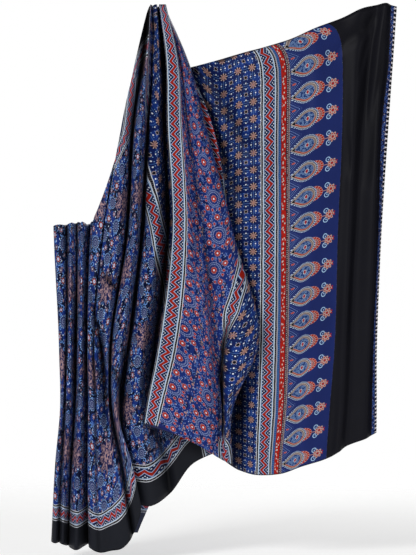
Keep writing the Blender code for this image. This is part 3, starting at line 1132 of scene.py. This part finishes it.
def tear_drops():
    row = repeat(across - DROP_FIRST, DROP_PITCH)
    x, y = turned(DROP_MIDDLE - along, row * -1.0, DROP_LEAN)
    drop = drop_distance(x, y * DROP_SLIMNESS)
    angle = calc("ARCTAN2", y, x)
    colour = DROP_GROUND

    # Small dotted triangles in the gaps beside the points.
    gap_x = BRAID_START - along
    gap_y = size_of(repeat(across - DROP_FIRST - DROP_PITCH / 2, DROP_PITCH))
    wedge = gap_x * 0.62 + gap_y * 0.78
    dotted = disc(repeat(wedge, 5.0), repeat(gap_y * 0.62 - gap_x * 0.78, 3.6), 0.95)
    colour = stamp(colour, ink("7893CC"), overlap(dotted, wedge - 19.5))
    colour = stamp(colour, ink("B25046"), disc((gap_x - 9.5) * 0.4, gap_y, 2.2))

    # The sprig: a stem, a beaded flower and two curls.
    colour = stamp(colour, ink("B98A84"), overlap(size_of(y) - 0.9, size_of(x - 54.0) - 8.0))
    for side in (1, -1):
        curl = away(x - 56.5, y - side * 11.5)
        open_side = ring(curl, 5.6, 2.0)
        colour = stamp(colour, SKY, open_side)
        colour = stamp(colour, SKY, disc(x - 57.5, y - side * 10.5, 1.6))
        colour = stamp(colour, DROP_GROUND, disc(x - 62.0, y - side * 8.0, 3.2))
    out, over = around(x - 67.0, y, 7, 7.8)
    colour = stamp(colour, ink("C8A79E"), disc(out * 0.7, over, 3.2))
    colour = stamp(colour, RED, disc(out, over, 1.9))
    colour = stamp(colour, RED, away(x - 67.0, y) - 3.0)
    tip_dots = disc(x - 79.5, size_of(y) - 3.0, 2.0)
    colour = stamp(colour, RED, tip_dots)

    # The crown: a red cap with beads along its edge.
    cap_x, cap_y = (x - 20.0) / 25.5, y / 18.0
    cap = (away(cap_x, cap_y) - 1.0) * 21.0
    cap = overlap(cap, x * -1.0 + 8.0)
    colour = stamp(colour, ink("C79C90"), cap)
    bead_out, bead_over = around(cap_x, cap_y, 17, 0.86)
    beads = disc(bead_out * 22, bead_over * 22, 2.9)
    colour = stamp(colour, RED, overlap(beads, cap))
    colour = stamp(colour, ink("4A2A44"), cap + 6.4)
    colour = stamp(colour, ink("B58A88"), cap + 7.6)
    seeds = disc(repeat(x, 5.6), repeat(y, 5.4), 1.7)
    colour = stamp(colour, RED, overlap(seeds, cap + 8.6))

    # The body: pale dashes, dark line, beige outline, and steel blue scrolls inside.
    colour = stamp(colour, DROP_GROUND, drop - 4.6)
    rim = overlap(ring(drop, 3.1, 3.2), size_of(repeat(angle * 30.0, 5.0)) - 1.15)
    colour = stamp(colour, ink("C2D6EC"), rim)
    colour = stamp(colour, ink("0F1536"), drop - 1.0)
    colour = stamp(colour, ink("CFC2B6"), drop)
    colour = stamp(colour, ink("1A2148"), drop + 1.6)
    lower = drop + 2.2
    colour = stamp(colour, ink("84736F"), lower)
    colour = stamp(colour, ink("A5402F"), overlap(lower, y + 3.0))
    colour = stamp(colour, ink("C3B4AC"), drop + 5.6)
    colour = stamp(colour, ink("1F3870"), drop + 6.4)
    scrolls = ring(cells(170) * 5.9, 1.9, 1.1)
    colour = stamp(colour, ink("7C9AC6"), overlap(scrolls, drop + 7.4))
    colour = stamp(colour, ink("D8CFCB"), disc(x - 1.0, y, 5.2))
    colour = stamp(colour, ink("2A3F78"), disc(x - 1.0, y, 3.9))
    colour = stamp(colour, RED, disc(x - 1.0, y * 0.5, 2.2))
    colour = stamp(colour, BLACK, overlap(drop + 2.2, x + 31.0))
    return colour


drops = tear_drops()
print("with tear-drops:", len(nodes))

# %% [markdown]
# ## The flower ground
#
# Between two of the bands the ground is a brighter blue with red flowers, ringed medallions in a
# staggered lattice, little red buds and pale rosettes.

# %% Flowers
FLOWER_GROUND = ink("162B72")
FLOWER_RED = ink("AC2A1D")
FLOWER_PITCH_ALONG = 84
FLOWER_PITCH_ACROSS = 83
FLOWER_START = 814  # the first row of medallions, beside the second band
PALE = ink("8B9AC4")


def flower(colour, x, y, radius, count=8):
    """A round red flower with a pale dotted ring and a light heart."""
    distance = away(x, y)
    colour = stamp(colour, ink("101A48"), distance - radius * 1.12)
    out, over = around(x, y, count, radius * 0.7)
    petals = disc(out * 0.8, over, radius * 0.26)
    colour = stamp(colour, ink("A896A8"), petals - 0.6)
    colour = stamp(colour, FLOWER_RED, nearest(petals, distance - radius * 0.55))
    colour = stamp(colour, ink("DCE6F4"), distance - radius * 0.3)
    return colour


def flower_ground():
    # Folding both ways puts the same figures round every medallion of the staggered lattice.
    half_along, half_across = FLOWER_PITCH_ALONG, FLOWER_PITCH_ACROSS / 2
    outwards = (FLOWER_START - along) * 0.84
    column = repeat(outwards, 2 * half_along)
    first = size_of(column) < half_along / 2
    x = repeat(outwards, half_along)
    y = repeat(across + either(first, 0.0, half_across), FLOWER_PITCH_ACROSS)
    colour = FLOWER_GROUND
    colour = stamp(colour, ink("101C50"), cells(30) * 33 - 8)
    specks = overlap(ring(cells(96) * 10.4, 3.2, 1.5), cells(70) * 14.3 - 6.4)
    colour = stamp(colour, ink("5C7DC2"), specks)
    colour = stamp(colour, ink("BCC8E2"), cells(84) * 11.9 - 1.0)
    colour = stamp(colour, ink("8C6A74"), cells(58) * 17.2 - 2.0)
    # Medallion
    far = away(x, y)
    colour = stamp(colour, FLOWER_GROUND, far - 20.5)
    for radius, count in ((18.4, 30), (14.2, 22)):
        out, over = around(x, y, count, radius)
        colour = stamp(colour, PALE, disc(out, over, 1.35))
    colour = flower(colour, x, y, 7.8, 8)
    # Flower halfway to the next medallion, and four smaller ones about it
    mid_y = repeat(y + half_across, FLOWER_PITCH_ACROSS)
    colour = flower(colour, x, mid_y, 7.2)
    near_x, near_y = size_of(x) - 23.5, size_of(mid_y) - 20.5
    colour = flower(colour, near_x, near_y, 6.4)
    # Buds
    buds = nearest(
        disc(size_of(x) - 10.0, (size_of(mid_y) - 16.0) * 0.8, 2.6),
        disc(size_of(x) - 33.0, (size_of(mid_y) - 10.0) * 0.8, 2.6),
        disc((size_of(x) - 24.0) * 0.8, size_of(y) - 4.5, 2.4),
    )
    colour = stamp(colour, ink("9A93B0"), buds - 0.9)
    colour = stamp(colour, FLOWER_RED, buds)
    # Rosettes between
    rose_x, rose_y = size_of(x) - 46.5, mid_y
    petals_out, petals_over = around(rose_x, rose_y, 6, 6.5)
    petals = disc(petals_out * 0.6, petals_over, 2.6)
    colour = stamp(colour, ink("A9948F"), petals)
    colour = stamp(colour, ink("B4574A"), disc(petals_out * 0.6, petals_over, 1.2))
    return colour


flowers = flower_ground()
print("with flowers:", len(nodes))

# %% [markdown]
# ## The body
#
# The long body of the sari has the densest print: spiral rounds, pink and red flowers, pale scrolls,
# and large light clusters, all on dark navy.

# %% Body print
BODY_GROUND = ink("0B1434")
BODY_PITCH = 47
CLUSTER_PITCH = (118, 152)
BLUE = ink("6C9AE0")


def ringed_flower(colour, x, y, size):
    """A small flower: a red or brown ring in a dark one, with a pale heart and dots around."""
    far = away(x, y) * (1 / size)
    colour = stamp(colour, BODY_GROUND, (far - 9.6) * size)
    out, over = around(x, y, 9, 8.2 * size)
    colour = stamp(colour, ink("9DB0DA"), disc(out, over, 1.2 * size))
    colour = stamp(colour, ink("9C4440"), (far - 6.0) * size)
    colour = stamp(colour, ink("C2D6F4"), (far - 3.4) * size)
    return stamp(colour, ink("8E3030"), (far - 1.2) * size)


def body_ground():
    over, down = turned(body_over, body_down, 0.3)
    x = repeat(over, BODY_PITCH)
    y = repeat(down, BODY_PITCH)
    off_x = repeat(over + BODY_PITCH / 2, BODY_PITCH)
    off_y = repeat(down + BODY_PITCH / 2, BODY_PITCH)
    patches = cells(34, body_over, body_down) * 29
    colour = stamp(BODY_GROUND, ink("15307A"), patches - 13.0)
    # Scrolls are open rings, so a second pattern cuts them.
    cut = cells(64, body_over, body_down) * 15.6 - 6.4
    scrolls = overlap(ring(cells(92, body_over, body_down) * 10.9, 3.3, 1.7), cut)
    colour = stamp(colour, BLUE, scrolls)
    colour = stamp(colour, ink("DCE8FA"), cells(74, body_over, body_down) * 13.5 - 1.3)
    colour = stamp(colour, ink("8A6E7A"), cells(58, body_over, body_down) * 17.2 - 2.0)
    # Spiral rounds
    far = away(off_x, off_y)
    colour = stamp(colour, BODY_GROUND, far - 12.6)
    out, aside = around(off_x, off_y, 16, 11.2)
    colour = stamp(colour, ink("8FB2E8"), disc(out, aside, 1.3))
    spiral = calc("ARCTAN2", off_y, off_x) * (4.4 / 6.28318) + far
    colour = stamp(colour, ink("2A3568"), far - 9.2)
    colour = stamp(colour, ink("77809E"), overlap(ring(repeat(spiral, 4.4), 0, 1.7), far - 8.8))
    # Flowers at the corners, and smaller ones halfway between
    colour = ringed_flower(colour, x, y, 0.95)
    side_x, side_y = size_of(x) - BODY_PITCH / 2, y
    colour = ringed_flower(colour, side_x, side_y, 0.6)
    top_x, top_y = x, size_of(y) - BODY_PITCH / 2
    colour = stamp(colour, ink("7C6A78"), disc(top_x, top_y, 5.0))
    colour = stamp(colour, ink("3A2A4C"), ring(away(top_x, top_y), 3.2, 1.4))
    colour = stamp(colour, ink("D9D3DC"), disc(top_x, top_y, 1.3))
    # Light clusters, one row staggered against the next
    tall = CLUSTER_PITCH[1]
    row = size_of(repeat(body_down, 2 * tall)) < tall / 2
    wide_x = repeat(body_over + either(row, 0.0, CLUSTER_PITCH[0] / 2), CLUSTER_PITCH[0])
    wide_y = repeat(body_down, tall)
    reach = away(wide_x, wide_y)
    arms = calc("COSINE", calc("ARCTAN2", wide_y, wide_x) * 8.0) * -5.0
    cluster = reach + arms - 28.0
    lattice = ring(cells(118, body_over, body_down) * 8.5, 3.0, 2.3)
    colour = stamp(colour, ink("0F1B4C"), cluster - 1.5)
    colour = stamp(colour, ink("8C7480"), overlap(lattice, cluster))
    rays_out, rays_over = around(wide_x, wide_y, 8, 15.0)
    colour = stamp(colour, ink("AC8C90"), overlap(size_of(rays_over) - 1.6, reach - 25.0))
    colour = stamp(colour, ink("152256"), ring(reach, 12.0, 2.4))
    colour = stamp(colour, ink("152256"), reach - 3.4)
    return colour


body = body_ground()
print("with body:", len(nodes))

# %% [markdown]
# ## Laying the cloth out
#
# From the plain end: a narrow printed strip, a black panel, the tear-drop row, the braid, then bands
# and grounds in turn, and the body. The body has a band along its edges and a plain black hem.

# %% Strip, panel and hem
STRIP_WIDTH = 20
PANEL_END = 130
PLAIN_EDGE = 12
LOWER_EDGE_GAP = 130  # the plain lower edge starts this far before the second band's middle
CHARCOAL = ink("14141B")
FLOWER_RANGE = (BAND_MIDDLES[1], BAND_MIDDLES[2])


def between(value, low, high):
    """A shape that covers values from low to high."""
    return size_of(value - (low + high) / 2) - (high - low) / 2


def strip():
    colour = stamp(ink("101A48"), ink("3F5FA6"), ring(cells(110) * 9.1, 2.8, 1.5))
    colour = stamp(colour, ink("A9A2B2"), overlap(cells(90) * 11 - 1.4, between(along, 5, 18)))
    colour = stamp(colour, ink("E4DEE2"), between(along, -9, 7.5))
    colour = stamp(colour, BLACK, disc((along - 2.6) * 0.7, repeat(across, 11.0), 4.0))
    return colour


def lay_out():
    colour = stars
    colour = stamp(colour, flowers, between(along, *FLOWER_RANGE))
    edge_start = BAND_MIDDLES[1] - LOWER_EDGE_GAP
    lower_edge = overlap(CLOTH_WIDTH - PLAIN_EDGE - across, edge_start - along)
    colour = stamp(colour, ink("1B2768"), lower_edge)
    colour = stamp(colour, zigzag, size_of(band_across) - BAND_WIDTH / 2)
    colour = stamp(colour, braid_colour, between(along, BRAID_START, BRAID_END))
    colour = stamp(colour, drops, between(along, PANEL_END, BRAID_START))
    colour = stamp(colour, CHARCOAL, between(along, STRIP_WIDTH, PANEL_END))
    colour = stamp(colour, strip(), along - STRIP_WIDTH)
    whole_body = stamp(body, zigzag, size_of(hem_across) - BAND_WIDTH / 2)
    outside_hem = CLOTH_WIDTH / 2 - HEM_WIDTH - size_of(across - CLOTH_WIDTH / 2)
    whole_body = stamp(whole_body, ink("1D1F26"), outside_hem)
    colour = stamp(colour, whole_body, BODY_START - along)
    return stamp(colour, zigzag, turned_side - BAND_WIDTH / 2)


printed = lay_out()
print("the whole print:", len(nodes), "nodes")

# %% Rolled edges and uneven dye
EDGE_ROLL = 2.5


def finish_print(colour):
    rolled = nearest(across - EDGE_ROLL, CLOTH_WIDTH - EDGE_ROLL - across)
    colour = stamp(colour, ink("14141C"), rolled, 0.75)
    noise = nodes.new("ShaderNodeTexNoise")
    noise.noise_dimensions = "2D"
    noise.inputs["Scale"].default_value = 9
    noise.inputs["Detail"].default_value = 4
    uv = nodes.new("ShaderNodeUVMap")
    uv.uv_map = "flat_cloth"
    links.new(uv.outputs[0], noise.inputs["Vector"])
    tone = nodes.new("ShaderNodeHueSaturation")
    plug(tone.inputs["Color"], colour)
    plug(tone.inputs["Value"], calc("MULTIPLY_ADD", Value(noise.outputs["Fac"]), 0.36, 0.82))
    return Value(tone.outputs["Color"])


result = nodes.new("NodeGroupOutput")
links.new(finish_print(printed).socket, result.inputs[0])
print("print group:", len(nodes), "nodes")

# %% [markdown]
# ## Silk
#
# Printed silk has a soft shine, a little stronger at glancing angles, and a very fine plain weave.
# The weave is a bump of crossed threads. The reverse shows the same print, paler, because the ink
# doesn't go all the way through.

# %% Face and reverse of the silk
THREAD = 0.45  # mm between threads
REVERSE_FADE = 0.22
DEEPEST_TONE = 0.1  # how much of the colour the painted shade leaves deep in a slot of the face


def silk(name, fade, deepest):
    material = bpy.data.materials.new(name)
    material.use_nodes = True
    tree = material.node_tree
    shader = tree.nodes["Principled BSDF"]
    shader.inputs["Roughness"].default_value = 0.5
    shader.inputs["Specular IOR Level"].default_value = 0.1
    shader.inputs["Sheen Weight"].default_value = 0.02
    shader.inputs["Sheen Roughness"].default_value = 0.4
    pattern = tree.nodes.new("ShaderNodeGroup")
    pattern.node_tree = print_group
    paler = tree.nodes.new("ShaderNodeMix")
    paler.data_type = "RGBA"
    paler.inputs[0].default_value = fade
    paler.inputs[7].default_value = ink("5B6288")
    tree.links.new(pattern.outputs[0], paler.inputs[6])
    # Painted shade: the face's colour goes towards black where the hollow attribute is high.
    hollow_map = tree.nodes.new("ShaderNodeAttribute")
    hollow_map.attribute_name = "hollow"
    shade = tree.nodes.new("ShaderNodeMapRange")
    shade.inputs["To Min"].default_value = 1.0
    shade.inputs["To Max"].default_value = deepest
    dark = tree.nodes.new("ShaderNodeMix")
    dark.data_type = "RGBA"
    dark.inputs[6].default_value = (0, 0, 0, 1)
    tree.links.new(hollow_map.outputs["Fac"], shade.inputs["Value"])
    tree.links.new(shade.outputs[0], dark.inputs[0])
    tree.links.new(paler.outputs[2], dark.inputs[7])
    tree.links.new(dark.outputs[2], shader.inputs["Base Color"])
    uv = tree.nodes.new("ShaderNodeUVMap")
    uv.uv_map = "flat_cloth"
    heights = []
    for direction in ("X", "Y"):
        wave = tree.nodes.new("ShaderNodeTexWave")
        wave.bands_direction = direction
        wave.inputs["Scale"].default_value = 1000 / THREAD / 20
        tree.links.new(uv.outputs[0], wave.inputs["Vector"])
        heights.append(wave.outputs["Fac"])
    weave = tree.nodes.new("ShaderNodeMath")
    weave.operation = "MULTIPLY"
    for i in range(2):
        tree.links.new(heights[i], weave.inputs[i])
    bump = tree.nodes.new("ShaderNodeBump")
    bump.inputs["Strength"].default_value = 0.15
    bump.inputs["Distance"].default_value = 0.0002
    tree.links.new(weave.outputs[0], bump.inputs["Height"])
    tree.links.new(bump.outputs[0], shader.inputs["Normal"])
    return material


cloth.data.materials.append(silk("printed_silk_face", 0.0, DEEPEST_TONE))
cloth.data.materials.append(silk("printed_silk_reverse", REVERSE_FADE, 1.0))
print("materials:", [m.name for m in cloth.data.materials])

# %% [markdown]
# ## Hand over
#
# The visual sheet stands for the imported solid, rides on the object's only body and says how large it
# was before it was hung.

# %% What the cloth stands for
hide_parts("printed_silk_sari")
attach(cloth, "root")
max(fold_rows[-1][-1]) * MM
